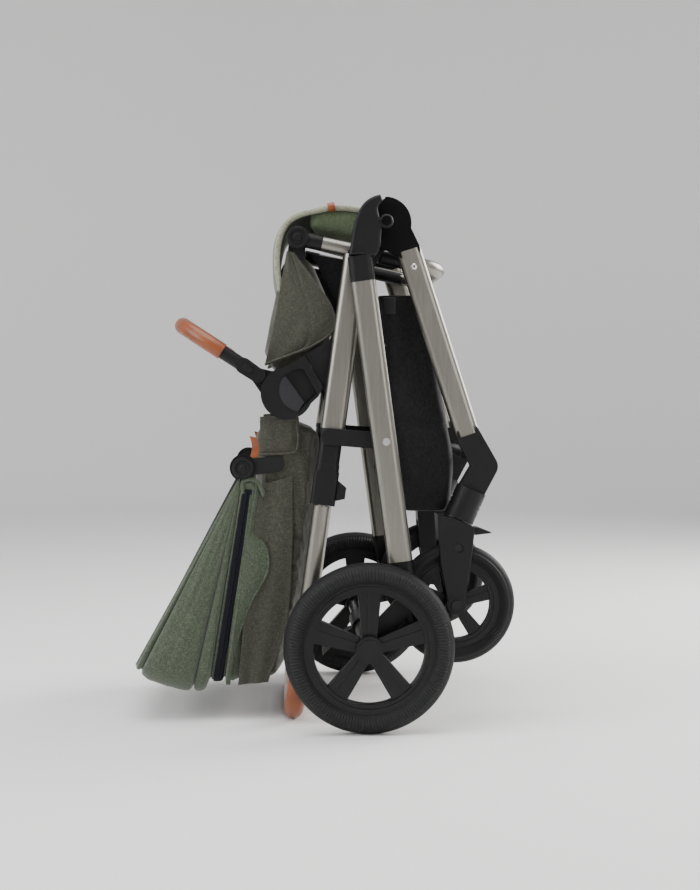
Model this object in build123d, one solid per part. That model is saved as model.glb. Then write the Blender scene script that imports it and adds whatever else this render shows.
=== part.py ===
from build123d import *
import math
import os

# A folding baby stroller, modelled folded and standing on its rear wheels and handlebar.
# Millimetres, +Z up. Inside this file X is measured from the rear axle, towards the front
# wheels; save() moves everything by axle_x, so that the origin is on the floor, midway
# along the folded stroller. The stroller's right side is -Y, and its left side mirrors it.
axle_x = 70.5

# Rear wheels
rear_radius = 135.0
rear_width = 44.0
rear_rim_radius = 103.0
# Front wheels
front_radius = 97.0
front_width = 36.0
front_rim_radius = 72.0
front_axle = (141.0, 197.0)
# Wheels in general
rim_band = 15.0
spokes = 5
hub_radius = 22.0
axle_radius = 6.0
turning = 0.05

# Frame tubes: wide across the side view, deep across the stroller
tube_wide = 40.0
tube_deep = 24.0
tube_corner = tube_deep / 2 - 1
tube_wall = 2.0
leg_y = 240.0
inner_y = leg_y - 32
handle_y = leg_y - 35
rear_wheel_y = leg_y + 37
clear = 0.3

# The fold pivot and the lines that the tubes run along, as (x, z)
fold = (28.0, 806.0)
fold_bolt = 6.0
fold_disc_radius = 42.0
rear_leg_top = (-8.0, 712.0)
rear_leg_foot = (51.0, 268.0)
front_leg_top = (66.0, 764.0)
front_leg_end = (161.5, 468.0)
handle_top = (-17.0, 756.0)
handle_end = (-119.0, 16.0)
handle_split_share = 0.3757

# Latch that keeps the stroller folded, on the rear leg's rivet
rivet = (28.2, 458.3)
latch_hook = (-62.0, 466.0)
latch_half = 13.5
latch_y = (leg_y - 22, leg_y - 12.5)
stud_radius = 5.0

# Rear suspension
arm_pivot = (62.0, 205.0)
arm_y = (leg_y + 1, leg_y + 12)
foot_y = (leg_y - 11.5, leg_y + 0.5)
crossbar_radius = 14.0

# Casters
caster_tilt = 24.0
caster_base = (147.0, 333.0)
barrel_radius = 25.0
barrel_length = 52.0
fork_gap = 1.5
fork_plate = 8.0

# Telescoping handle
inner_tube = 15.0
grip_radius = 16.0
grip_bend = 60.0

# Seat
hub = (-135.0, 536.0)
hub_radius_seat = 36.0
hub_inner_y = 171.0
hub_face_y = 203.0
nose_centre = (-129.0, 535.0)
nose_radius = 42.0
button_at = (-108.0, 540.0)
button_radius = 34.0
recess_deep = 10.0
legrest_pivot = (-111.0, 787.0)
legrest_end = (122.0, 736.0)
legrest_tube = 12.0
legrest_y = 165.0
seat_bar_y = (140.0, 150.0)
back_bar_y = (151.0, 161.0)
back_bar_end = (-160.0, 95.0)
seat_half = 164.0
soft_gap = 0.6
bumper_y = 193.0
bumper_radius = 11.0
bumper_pivot = (-176.0, 564.0)
bumper_start = (-198.0, 579.0)
bumper_end = (-300.0, 646.0)
canopy_pivot = (-200.0, 414.0)
canopy_half = 179.0
canopy_wall = 6.0
canopy_front = (-379.0, 82.0)
canopy_rear = (-158.0, 62.0)


# ---- shared ways of making and saving pieces ----
def save(name, *solids):
    """Write one node, moved so that the origin lies midway along the folded stroller."""
    placed = [Pos(axle_x, 0, 0) * solid for piece in solids for solid in piece.solids()]
    shape = placed[0] if len(placed) == 1 else Compound(placed)
    export_step(shape, f"parts/{name}.step")


def save_pair(name, right):
    """Write a piece of the right side and its mirror image on the left."""
    save(f"{name}_right", right)
    save(f"{name}_left", mirror(right, about=Plane.XZ))


def across(sketch, near, far):
    """A side-view outline, given as (x, z), made solid from y = -far to y = -near."""
    plate = extrude(Plane.XZ * sketch, amount=(far - near) / 2, both=True)
    return Pos(0, -(near + far) / 2, 0) * plate


def at(point):
    return Pos(point[0], point[1])


def direction(start, end):
    """Unit vector from one (x, z) point to another, in three dimensions."""
    return Vector(end[0] - start[0], 0, end[1] - start[1]).normalized()


def between(start, end, share):
    return (start[0] + (end[0] - start[0]) * share, start[1] + (end[1] - start[1]) * share)


def run_plane(start, end, y):
    """Plane at the start of a tube: its normal runs along the tube, its x lies in the side view."""
    along = direction(start, end)
    return Plane(origin=(start[0], y, start[1]), x_dir=(along.Z, 0, -along.X), z_dir=along)


def length(start, end):
    return math.dist(start, end)


def bar(start, end, y, wide, deep, corner):
    sketch = RectangleRounded(wide, deep, corner)
    return extrude(run_plane(start, end, y) * sketch, amount=length(start, end))


def frame_tube(start, end, y):
    """A hollow rounded-oblong aluminium tube."""
    outer = bar(start, end, y, tube_wide, tube_deep, tube_corner)
    inner_wide = tube_wide - 2 * tube_wall
    inner_deep = tube_deep - 2 * tube_wall
    return outer - bar(start, end, y, inner_wide, inner_deep, tube_corner - tube_wall)


def pin(centre, radius, near, far):
    """A round pin across the stroller, from y = -far to y = -near."""
    return across(at(centre) * Circle(radius), near, far)


def link(start, start_radius, end, end_radius, near, far):
    """A flat arm with two round ends."""
    ends = (at(start) * Circle(start_radius)).edges() + (at(end) * Circle(end_radius)).edges()
    return across(make_hull(ends), near, far)


def round_bar(points, radius, bend):
    """A round bar along points joined by bends of one radius."""
    path = FilletPolyline(*points, radius=bend)
    return sweep(Plane(origin=path @ 0, z_dir=path % 0) * Circle(radius), path=path)


def rounded_edge(piece, radius):
    """Round the rim of a flat piece's outer face."""
    return fillet(piece.edges().filter_by(Axis.Y, reverse=True).group_by(Axis.Y)[0], radius)


def wheel_place(centre, y):
    """From a wheel lying flat, its outer face up, to its place on the right side."""
    return Pos(centre[0], -y, centre[1]) * Rot(90, 0, 0)


handle_split = between(handle_top, handle_end, handle_split_share)


# ---- wheels ----
def tyre(radius, rim_radius, width):
    """A foam tyre: a flattened crown, shoulders and a bead that steps onto the rim."""
    half = width / 2
    crown = radius - 9
    bulge = (rim_radius + 6 + crown) / 2
    with BuildPart() as made:
        with BuildSketch(Plane.XZ):
            with BuildLine():
                Line((rim_radius, -half * 0.62), (rim_radius + 6, -half * 0.86))
                ThreePointArc((rim_radius + 6, -half * 0.86), (bulge, -half), (crown, -half * 0.8))
                ThreePointArc((crown, -half * 0.8), (radius, 0), (crown, half * 0.8))
                ThreePointArc((crown, half * 0.8), (bulge, half), (rim_radius + 6, half * 0.86))
                Line((rim_radius + 6, half * 0.86), (rim_radius, half * 0.62))
                Line((rim_radius, half * 0.62), (rim_radius, -half * 0.62))
            make_face()
        revolve(axis=Axis.Z)
    return made.part


def rim(rim_radius, width, hub_r, bore):
    """A moulded rim: a band, a hub and five broad spokes that taper towards the hub."""
    half = width * 0.31
    band = Cylinder(rim_radius, 2 * half) - Cylinder(rim_radius - rim_band, 2 * half)
    lip = Cylinder(rim_radius - 4, half) - Cylinder(rim_radius - 9, half)
    band += Pos(0, 0, half / 2 + 2) * lip
    centre = Cylinder(hub_r, width * 0.8)
    outer = rim_radius - rim_band + 2
    spoke = Polyline((-0.44 * hub_r, 0), (-0.21 * outer, outer), (0.21 * outer, outer), (0.44 * hub_r, 0), close=True)
    arm = extrude(make_face(spoke), amount=half * 0.75, both=True)
    ridge = Pos(0, outer / 2, half * 0.75) * Box(hub_r * 0.3, outer, 3)
    whole = band + centre
    for step in range(spokes):
        whole += Rot(0, 0, step * 360 / spokes) * (arm + ridge)
    return whole - Cylinder(bore, width * 2)


rear_bore = axle_radius + turning
rear_tyre = tyre(rear_radius, rear_rim_radius, rear_width)
rear_rim = rim(rear_rim_radius, rear_width, hub_radius, rear_bore)
rear_place = wheel_place((0, rear_radius), rear_wheel_y)
save_pair("rear_tyre", rear_place * rear_tyre)
save_pair("rear_rim", rear_place * rear_rim)

hub_face = rear_width * 0.4
cap = Pos(0, 0, hub_face + 1.5) * Cylinder(hub_radius - 1, 3)
cap += Pos(0, 0, hub_face + 3.6) * Cylinder(hub_radius - 6, 1.2)
save_pair("rear_wheel_cap", rear_place * cap)

front_bore = 5.0 + turning
front_tyre = tyre(front_radius, front_rim_radius, front_width)
front_rim = rim(front_rim_radius, front_width * 0.9, hub_radius - 6, front_bore)
front_place = wheel_place(front_axle, inner_y)
save_pair("front_tyre", front_place * front_tyre)
save_pair("front_rim", front_place * front_rim)

# ---- rear legs, hinge caps and feet ----
save_pair("rear_leg", frame_tube(rear_leg_top, rear_leg_foot, -leg_y) - pin(rivet, 4, 200, 260))

cap_in = leg_y - tube_deep / 2
cap_out = leg_y + tube_deep / 2
with BuildSketch() as cap_outline:
    with BuildLine():
        crown = Spline((-31, 752), (-24, 795), (-10, 831), (19, 848))
        Line((19, 848), (23, 838))
        Spline((23, 838), (15, 824), (18, 812), (21, 800), (20, 784), (19, 768), (9, 751))
        Line((9, 751), (-31, 752))
    make_face()
    with Locations(fold):
        Circle(11.5)
hinge_cap = across(cap_outline.sketch, cap_in, cap_out)
hinge_cap = rounded_edge(hinge_cap, 5)
collar_top = between(rear_leg_top, rear_leg_foot, -0.09)
collar_end = between(rear_leg_top, rear_leg_foot, 0.004)
collar = bar(collar_top, collar_end, -leg_y, tube_wide - 1, tube_deep, tube_corner)
plug_end = between(rear_leg_top, rear_leg_foot, 0.1)
plug_gap = 2 * tube_wall
plug = bar(collar_top, plug_end, -leg_y, tube_wide - plug_gap, tube_deep - plug_gap, tube_corner - tube_wall)
hinge_cap = hinge_cap + collar + plug - pin(fold, fold_bolt, 150, 300)
leg_solid = bar(rear_leg_top, rear_leg_foot, -leg_y, tube_wide, tube_deep, tube_corner)
hinge_cap = hinge_cap - (leg_solid - plug)
save_pair("hinge_cap", hinge_cap)

foot_plug = bar(
    between(rear_leg_top, rear_leg_foot, 0.92),
    rear_leg_foot,
    -leg_y,
    tube_wide - plug_gap,
    tube_deep - plug_gap,
    tube_corner - tube_wall,
)
foot_low = between(rear_leg_top, rear_leg_foot, 1.05)
foot_block = bar(rear_leg_foot, foot_low, -leg_y, tube_wide, tube_deep, tube_corner)
foot_lug = link(foot_low, tube_wide / 2 - 1, arm_pivot, 16, *foot_y)
foot = foot_block + foot_plug + foot_lug - pin(arm_pivot, 5, 200, 260)
arm_room = across(at(arm_pivot) * Circle(19), arm_y[0] - clear, arm_y[1] + 3)
foot -= arm_room
save("rear_feet", foot, mirror(foot, about=Plane.XZ))

# ---- rear axle unit: two swing arms, the crossbar and the brake pedal ----
axle_centre = (0, rear_radius)
arm = link(arm_pivot, 15, axle_centre, 19, *arm_y)
arm -= pin(arm_pivot, 5 + turning, 200, 260)
spindle_end = rear_wheel_y + rear_width * 0.4
arm += pin(axle_centre, axle_radius, arm_y[1], spindle_end)
arm += pin(axle_centre, 11, arm_y[1], arm_y[1] + 3)
socket_in = arm_y[0] - 14
arm += pin(axle_centre, 19, socket_in, arm_y[0])
save_pair("rear_arm", arm)
crossbar = pin(axle_centre, crossbar_radius, 0, socket_in)
crossbar += mirror(crossbar, about=Plane.XZ)
save("rear_crossbar", crossbar)
arm_pins = pin(arm_pivot, 5, foot_y[0] - 1, arm_y[1]) + pin(arm_pivot, 8, foot_y[0] - 1.5, foot_y[0])

pedal_in = 60.0
pedal_ring = pin(axle_centre, crossbar_radius + 5, -pedal_in, pedal_in)
pedal_ring -= pin(axle_centre, crossbar_radius + turning, -pedal_in - 1, pedal_in + 1)
pedal_tip = (-62.0, rear_radius - 51)
pedal_arm = link(between(axle_centre, pedal_tip, 0.3), 8, pedal_tip, 5, -22, 22)
pedal_arm -= pin(axle_centre, crossbar_radius + 1, -pedal_in, pedal_in)
pedal_pad = link(between(axle_centre, pedal_tip, 0.8), 7, pedal_tip, 6, -45, 45)
save("brake_pedal", pedal_ring + pedal_arm + pedal_pad)

# ---- folding latch and the fasteners of the rear frame ----
latch = link(latch_hook, latch_half, rivet, latch_half, *latch_y)
latch = rounded_edge(latch, 2)
groove_deep = latch_y[0] + 5
groove = across(at(latch_hook) * Circle(stud_radius + 1), latch_y[0] - 1, groove_deep)
groove += across(at((latch_hook[0] - 15, latch_hook[1])) * Rectangle(30, 22), latch_y[0] - 1, groove_deep)
groove += across(at((latch_hook[0] + 1.5, latch_hook[1] - 15)) * Rectangle(21, 30), latch_y[0] - 1, groove_deep)
latch = latch - groove - pin(rivet, 4 + turning, 200, 260)
save_pair("fold_latch", latch)

leg_pin = pin(rivet, 4, latch_y[0] - 1.5, cap_out) + pin(rivet, 6, cap_out, cap_out + 1.6)
leg_pin += pin(rivet, 6, latch_y[0] - 3, latch_y[0] - 1)
fold_pin = pin(fold, fold_bolt, 180.5, cap_out) + pin(fold, 7.5, cap_out, cap_out + 3.5)
fold_pin += pin(fold, 9, 178.5, 180.5)
fasteners = [leg_pin, fold_pin, arm_pins]
fasteners += [mirror(item, about=Plane.XZ) for item in fasteners]
save("frame_pins", *fasteners)

# ---- front legs, fold discs and elbows ----
front_leg = frame_tube(front_leg_top, front_leg_end, -inner_y)
save_pair("front_leg", front_leg)
disc_y = (inner_y - tube_deep / 2 + 1, inner_y + tube_deep / 2)
disc = pin(fold, fold_disc_radius, *disc_y)
neck = bar(fold, front_leg_top, -inner_y - 0.5, tube_wide - 4, tube_deep - 1, tube_corner)
neck_low = between(front_leg_top, front_leg_end, 0.1)
neck_plug = bar(front_leg_top, neck_low, -inner_y, tube_wide - plug_gap, tube_deep - plug_gap, tube_corner - tube_wall)
shoulder = make_hull(
    (at(front_leg_top) * Circle(tube_wide / 2 - 2)).edges() + (at(fold) * Circle(fold_disc_radius - 8)).edges()
)
disc += across(shoulder, *disc_y)
leg_hollow = bar(front_leg_top, front_leg_end, -inner_y, tube_wide + 2, tube_deep + 2, tube_corner)
disc = disc - leg_hollow + neck_plug
notch = at((fold[0] - 6, fold[1] + fold_disc_radius + 2)) * Circle(7)
disc = disc - across(notch, 150, 260) - pin(fold, fold_bolt + turning, 150, 300)
save("fold_discs", disc, mirror(disc, about=Plane.XZ))

# The elbow carries on down the leg, then turns back to the caster's axis.
tilt = math.radians(caster_tilt)
axis_up = Vector(math.sin(tilt), 0, math.cos(tilt))
barrel_top = (
    caster_base[0] + barrel_length * math.sin(tilt),
    caster_base[1] + barrel_length * math.cos(tilt),
)
elbow_turn = (189.0, 418.0)
elbow_upper = link(front_leg_end, tube_wide / 2 - 1, elbow_turn, 20, inner_y - 15, inner_y + 15)
elbow_lower = link(elbow_turn, 20, barrel_top, 21, inner_y - 15, inner_y + 15)
elbow = elbow_upper + elbow_lower
barrel_plane = Plane(origin=(caster_base[0], -inner_y, caster_base[1]), x_dir=(0, 1, 0), z_dir=axis_up)
barrel = extrude(barrel_plane * Circle(barrel_radius), amount=barrel_length)
ring = Plane(origin=barrel_plane.origin + axis_up * 30, x_dir=(0, 1, 0), z_dir=axis_up)
barrel -= extrude(ring * (Circle(barrel_radius + 1) - Circle(barrel_radius - 1.2)), amount=1.6)
ring_low = Plane(origin=barrel_plane.origin + axis_up * 22, x_dir=(0, 1, 0), z_dir=axis_up)
barrel -= extrude(ring_low * (Circle(barrel_radius + 1) - Circle(barrel_radius - 1.2)), amount=1.6)
elbow_low = between(front_leg_top, front_leg_end, 0.88)
elbow_plug = bar(elbow_low, front_leg_end, -inner_y, tube_wide - plug_gap, tube_deep - plug_gap, tube_corner - tube_wall)
front_solid = bar(front_leg_top, front_leg_end, -inner_y, tube_wide + 1, tube_deep + 8, tube_corner)
elbow = elbow - front_solid + elbow_plug + barrel
stem_bore = Plane(origin=barrel_plane.origin - axis_up, x_dir=(0, 1, 0), z_dir=axis_up)
elbow -= extrude(stem_bore * Circle(8 + turning), amount=barrel_length - 8)
save_pair("front_elbow", elbow)

front_bar_at = (168.0, 436.0)
front_bar = across(at(front_bar_at) * RectangleRounded(30, 14, 6), -(inner_y - 15), inner_y - 15)
save("front_crossbar", front_bar)

# ---- casters: fork, axle and swivel lock ----
wheel_side = front_width / 2 + 3
cheek_y = (inner_y + wheel_side, inner_y + wheel_side + fork_plate)
with BuildSketch() as cheek:
    with BuildLine():
        Polyline((-30, 12), (31, 0), (24, -66), (14, -132), (-14, -132), (-26, -66), close=True)
    make_face()
    with Locations((0, -132)):
        Circle(15)
cheek_place = Pos(front_axle[0], front_axle[1] + 132) * cheek.sketch
cheek_place += at(front_axle) * Circle(17)
outer_cheek = across(cheek_place, *cheek_y)
outer_cheek = rounded_edge(outer_cheek, 3)
inner_cheek = across(cheek_place, 2 * inner_y - cheek_y[1], 2 * inner_y - cheek_y[0])
bridge_low = front_axle[1] + front_radius + 5
with BuildSketch() as bridge_outline:
    with BuildLine():
        Polyline(
            (front_axle[0] - 30, front_axle[1] + 144),
            (front_axle[0] + 31, front_axle[1] + 132),
            (front_axle[0] + 27, bridge_low),
            (front_axle[0] - 28, bridge_low),
            close=True,
        )
    make_face()
bridge = across(bridge_outline.sketch, 2 * inner_y - cheek_y[1] + 1, cheek_y[1] - 1)
fork = outer_cheek + inner_cheek + bridge
below = Plane(origin=barrel_plane.origin - axis_up * fork_gap, x_dir=(0, 1, 0), z_dir=axis_up)
fork -= extrude(below * Circle(90), amount=90)
foot_ring = extrude(below * Circle(barrel_radius - 1), amount=-10)
stem = extrude(below * Circle(8), amount=barrel_length - 12)
fork = fork + foot_ring + stem - pin(front_axle, 5, 150, 260)
lock_room = Pos(front_axle[0] + 34, -inner_y, front_axle[1] + 120) * Box(44, 34.6, 23)
fork -= lock_room
wheel_room = pin(front_axle, front_radius + 3, inner_y - wheel_side, inner_y + wheel_side)
fork -= wheel_room
save_pair("front_fork", fork)

front_pin = pin(front_axle, 5, 2 * inner_y - cheek_y[1] - 2, cheek_y[1] + 1)
front_pin += pin(front_axle, 7.5, cheek_y[1], cheek_y[1] + 3)
front_pin += pin(front_axle, 7.5, 2 * inner_y - cheek_y[1] - 3, 2 * inner_y - cheek_y[1])
upper_bolt = (front_axle[0] + 2, front_axle[1] + 92)
front_screw = pin(upper_bolt, 6, cheek_y[1], cheek_y[1] + 1.5)
lock_pivot = (front_axle[0] + 22, front_axle[1] + 117)
lock_half = 16.5
lock_bolt = 2.4
lock_pin = pin(lock_pivot, lock_bolt, inner_y - lock_half - 0.4, inner_y + lock_half + 0.4)
save_pair("front_axle", Compound([*front_pin.solids(), *front_screw.solids(), *lock_pin.solids()]))

with BuildSketch() as lock_outline:
    with BuildLine():
        Polyline(
            (lock_pivot[0] - 6, lock_pivot[1] - 5),
            (lock_pivot[0] + 12, lock_pivot[1] - 6),
            (lock_pivot[0] + 37, lock_pivot[1] - 3),
            (lock_pivot[0] + 14, lock_pivot[1] + 6),
            (lock_pivot[0] - 6, lock_pivot[1] + 5),
            close=True,
        )
    make_face()
swivel_lock = across(lock_outline.sketch, inner_y - lock_half, inner_y + lock_half)
swivel_lock -= pin(lock_pivot, lock_bolt + turning, 150, 260)
save_pair("swivel_lock", swivel_lock)

# ---- handle: outer tubes, hinge lugs, housings ----
save_pair("handle_tube", frame_tube(handle_top, handle_split, -handle_y))
lug_y = (181.0, handle_y - tube_deep / 2)
lug_base = between(handle_top, handle_split, 0.17)
lug = link(fold, 20, lug_base, 17, *lug_y) + link(handle_top, 15, lug_base, 17, *lug_y)
lug -= pin(fold, fold_bolt + turning, 150, 300)
save("handle_lugs", lug, mirror(lug, about=Plane.XZ))

sleeve_top = between(handle_top, handle_split, 0.965)
collar_at = between(handle_split, handle_end, 0.018)
housing = bar(handle_split, collar_at, -handle_y, tube_wide, tube_deep, tube_corner)
stud = pin(latch_hook, stud_radius, handle_y + tube_deep / 2 - 1, latch_y[0] + 4)
sleeve_end = between(handle_split, handle_end, 0.123)
housing += bar(collar_at, sleeve_end, -handle_y, tube_wide - 4, tube_deep - 1, tube_corner - 1)
ring_end = between(handle_split, handle_end, 0.147)
ring_solid = bar(sleeve_end, ring_end, -handle_y, tube_wide - 2, tube_deep + 1, tube_corner)
block_end = between(handle_split, handle_end, 0.264)
block = bar(ring_end, block_end, -handle_y, tube_wide, tube_deep, 6)
housing += ring_solid + block
housing_plug = bar(sleeve_top, handle_split, -handle_y, tube_wide - plug_gap, tube_deep - plug_gap, tube_corner - tube_wall)
housing += housing_plug
housing_room = run_plane(handle_split, handle_end, -handle_y)
slide_bore = extrude(housing_room * Circle(9.5 + turning), amount=130)
slide_bore += extrude(housing_room * Circle(9.5 + turning), amount=-60)
save_pair("handle_housing", housing - slide_bore + stud)

lever_at = between(handle_split, handle_end, 0.21)
side = direction(handle_split, handle_end)
lever_face = Polyline((-16, 0), (16, 0), (11, 14), (-7, 14), close=True)
lever_outline = Plane(
    origin=Vector(lever_at[0], -handle_y, lever_at[1]) + Vector(-side.Z, 0, side.X) * (tube_wide / 2 + clear),
    x_dir=side,
    z_dir=(0, -1, 0),
)
lever = extrude(lever_outline * make_face(lever_face), amount=8, both=True)
save_pair("handle_lock", lever)

# The inner tubes and the handlebar are one bent tube, which slides in the housings.
tube_start = between(handle_split, handle_end, -0.35)
bar_corner = (handle_end[0], handle_end[1])
path_points = [
    (tube_start[0], -handle_y, tube_start[1]),
    (bar_corner[0], -handle_y, bar_corner[1]),
    (bar_corner[0], handle_y, bar_corner[1]),
    (tube_start[0], handle_y, tube_start[1]),
]
fold_path = FilletPolyline(*path_points, radius=grip_bend)
start_plane = Plane(origin=fold_path @ 0, z_dir=fold_path % 0)
slim = sweep(start_plane * Circle(9.5), path=fold_path)
low_start = between(handle_split, handle_end, 0.268)
low_points = [
    (low_start[0], -handle_y, low_start[1]),
    (bar_corner[0], -handle_y, bar_corner[1]),
    (bar_corner[0], handle_y, bar_corner[1]),
    (low_start[0], handle_y, low_start[1]),
]
low_path = FilletPolyline(*low_points, radius=grip_bend)
low_plane = Plane(origin=low_path @ 0, z_dir=low_path % 0)
handle_bar = slim + sweep(low_plane * Circle(inner_tube), path=low_path)
save("handle_bar", handle_bar)
grip_start = between(handle_split, handle_end, 0.86)
grip_points = [
    (grip_start[0], -handle_y, grip_start[1]),
    (bar_corner[0], -handle_y, bar_corner[1]),
    (bar_corner[0], handle_y, bar_corner[1]),
    (grip_start[0], handle_y, grip_start[1]),
]
grip_path = FilletPolyline(*grip_points, radius=grip_bend)
grip_plane = Plane(origin=grip_path @ 0, z_dir=grip_path % 0)
grip = sweep(grip_plane * (Circle(grip_radius) - Circle(inner_tube)), path=grip_path)
save("handle_grip", grip)

# ---- seat adaptors, hubs and recline buttons ----
adaptor_y = (hub_inner_y, handle_y - tube_deep / 2)
seam = ((-99.0, 597.0), (-69.5, 544.0))
adaptor_outline = Polyline(
    seam[0], (-52, 627), (-30, 638), (-46, 520), (-60, 516), seam[1], close=True
)
adaptor = across(make_face(adaptor_outline), *adaptor_y)
save_pair("seat_adaptor", adaptor)

hub_body = Polyline(
    (seam[0][0] - 1, seam[0][1] - 1), (-128, 566), (-135, 500), (-112, 506), (seam[1][0] - 1, seam[1][1] + 1), close=True
)
shell = across(make_face(hub_body), *adaptor_y) + pin(hub, hub_radius_seat, *adaptor_y)
face_y = (adaptor_y[1] - 1, hub_face_y)
hub_nose = Polyline(
    (seam[0][0] - 1, seam[0][1] - 1),
    (-150, 565),
    (-125, 494),
    (-102, 508),
    (-78, 530),
    (seam[1][0] - 1, seam[1][1] + 1),
    close=True,
)
shell += pin(nose_centre, nose_radius, *face_y) + across(make_face(hub_nose), *face_y)
bumper_ear = link(hub, hub_radius_seat - 6, bumper_pivot, 12, hub_inner_y, bumper_y - bumper_radius)
shell += bumper_ear + pin(bumper_pivot, 5, hub_inner_y, bumper_y + bumper_radius + 1)
button_circle = at(button_at)
recess_edge = make_face(Polyline((-150, 553), (-106, 580), (-80, 535), (-112, 504), (-150, 504), close=True))
recess = button_circle * Circle(button_radius) & recess_edge
shell -= across(recess, hub_face_y - recess_deep, hub_face_y + 1)
shell += pin(hub, 8, seat_bar_y[0] - 2, hub_inner_y) + pin(hub, 12, seat_bar_y[0] - 5, seat_bar_y[0] - 0.5)
save_pair("seat_hub", shell)
button_edge = make_face(Polyline((-150, 549), (-131, 562.5), (-101, 521), (-112.5, 503), (-150, 503), close=True))
crescent = button_circle * Circle(button_radius - clear) & button_edge
button = across(crescent, hub_face_y - recess_deep / 2, hub_face_y + 1)
save_pair("hub_button", button)

# ---- seat base, legrest and backrest frames ----
seat_bar = link(hub, 16, legrest_pivot, 14, *seat_bar_y)
seat_bar -= pin(hub, 8 + turning, 100, 200)
pivot_pin = pin(legrest_pivot, 6, seat_bar_y[1] - 1, legrest_y + legrest_tube + 1)
knee_tube = (-122.0, 690.0)
seat_base = seat_bar + pivot_pin + pin(knee_tube, 8, -seat_bar_y[1], seat_bar_y[1])
seat_base += mirror(seat_bar + pivot_pin, about=Plane.XZ)
save("seat_base_frame", seat_base)

leg_eye = pin(legrest_pivot, 17, seat_bar_y[1] + 1, legrest_y + legrest_tube)
leg_eye -= pin(legrest_pivot, 6 + turning, 100, 200)
leg_start = between(legrest_pivot, legrest_end, 0.06)
leg_turn = (legrest_end[0] - 2, legrest_end[1] + 1)
legrest_points = [
    (leg_start[0], -legrest_y, leg_start[1]),
    (leg_turn[0], -legrest_y, leg_turn[1]),
    (leg_turn[0], legrest_y, leg_turn[1]),
    (leg_start[0], legrest_y, leg_start[1]),
]
legrest = round_bar(legrest_points, legrest_tube, 45) + leg_eye + mirror(leg_eye, about=Plane.XZ)
legrest -= pin(legrest_pivot, 6 + turning, -200, 200)
save("legrest_frame", legrest)

back_bar = link(hub, 18, back_bar_end, 10, *back_bar_y) - pin(hub, 8 + turning, 100, 200)
mount_root = (-146.0, 420.0)
canopy_bracket = link(mount_root, 13, canopy_pivot, 14, seat_half + 1, seat_half + 7.5)
canopy_bracket += pin(mount_root, 8, back_bar_y[0], seat_half + 2)
canopy_bracket += pin(canopy_pivot, 5, seat_half + 2, canopy_half + 5)
back_tube = (-157.0, 115.0)
backrest = back_bar + canopy_bracket
backrest = backrest + mirror(backrest, about=Plane.XZ) + pin(back_tube, 8, -back_bar_y[1], back_bar_y[1])
save("backrest_frame", backrest)

# ---- bumper bar ----
bumper_points = [
    (bumper_start[0], -bumper_y, bumper_start[1]),
    (bumper_end[0], -bumper_y, bumper_end[1]),
    (bumper_end[0], bumper_y, bumper_end[1]),
    (bumper_start[0], bumper_y, bumper_start[1]),
]
bumper = round_bar(bumper_points, bumper_radius, 75)
bumper_in = bumper_y - bumper_radius + clear
connector = link(bumper_pivot, 12, bumper_start, 13, bumper_in, bumper_y + bumper_radius)
bumper += connector + mirror(connector, about=Plane.XZ)
bumper -= pin(bumper_pivot, 5 + turning, -230, 230)
save("bumper_bar", bumper)
sleeve_start = between(bumper_start, bumper_end, 0.34)
sleeve_points = [
    (sleeve_start[0], -bumper_y, sleeve_start[1]),
    (bumper_end[0], -bumper_y, bumper_end[1]),
    (bumper_end[0], bumper_y, bumper_end[1]),
    (sleeve_start[0], bumper_y, sleeve_start[1]),
]
sleeve_path = FilletPolyline(*sleeve_points, radius=75)
sleeve_plane = Plane(origin=sleeve_path @ 0, z_dir=sleeve_path % 0)
sleeve = sweep(sleeve_plane * (Circle(bumper_radius + 2.5) - Circle(bumper_radius)), path=sleeve_path)
save("bumper_sleeve", sleeve)

# ---- seat fabric: base pad, backrest pad and legrest pad ----
pad_outline = Polyline(
    (-126, 768), (-167, 588), (-158, 568), (-128, 558), (-75, 585), (-48, 656), (-94, 767), close=True
)
pad = across(make_face(pad_outline), -seat_half, seat_half)
knee = Polyline((-140, 782), (-153, 760), (-150, 716), (-138, 700), (-110, 705), (-112, 760), close=True)
pad += across(make_face(knee), -(seat_bar_y[0] - 4), seat_bar_y[0] - 4)
bar_room = link(hub, 17, legrest_pivot, 15, seat_bar_y[0] - soft_gap, seat_bar_y[1] + soft_gap)
eye_room = pin(legrest_pivot, 19, seat_bar_y[0] - soft_gap, seat_half + 5)
knee_room = pin(knee_tube, 8 + soft_gap, -200, 200)
hub_room = pin(hub, 20, 130, 200)
pad = pad - bar_room - mirror(bar_room, about=Plane.XZ) - knee_room - eye_room - mirror(eye_room, about=Plane.XZ)
pad = pad - hub_room - mirror(hub_room, about=Plane.XZ)
save("seat_pad", pad)

back_outline = Polyline(
    (-78, 482), (-106, 215), (-148, 66), (-174, 62), (-186, 200), (-182, 330), (-176, 395), (-176, 490), (-120, 496), close=True
)
back = across(make_face(back_outline), -seat_half, seat_half)
back_room = link(hub, 19, back_bar_end, 11, back_bar_y[0] - soft_gap, back_bar_y[1] + soft_gap)
back_room += pin(mount_root, 8 + soft_gap, back_bar_y[0], seat_half + 5)
back = back - back_room - mirror(back_room, about=Plane.XZ) - pin(back_tube, 8 + soft_gap, -200, 200)
save("seat_back", back)

calf_outline = Polyline(
    (-93, 797), (-96, 834), (-55, 840), (2, 836), (20, 822), (20, 771.5), close=True
)
calf = across(make_face(calf_outline), -166, 166)
save("legrest_pad", calf)

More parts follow.
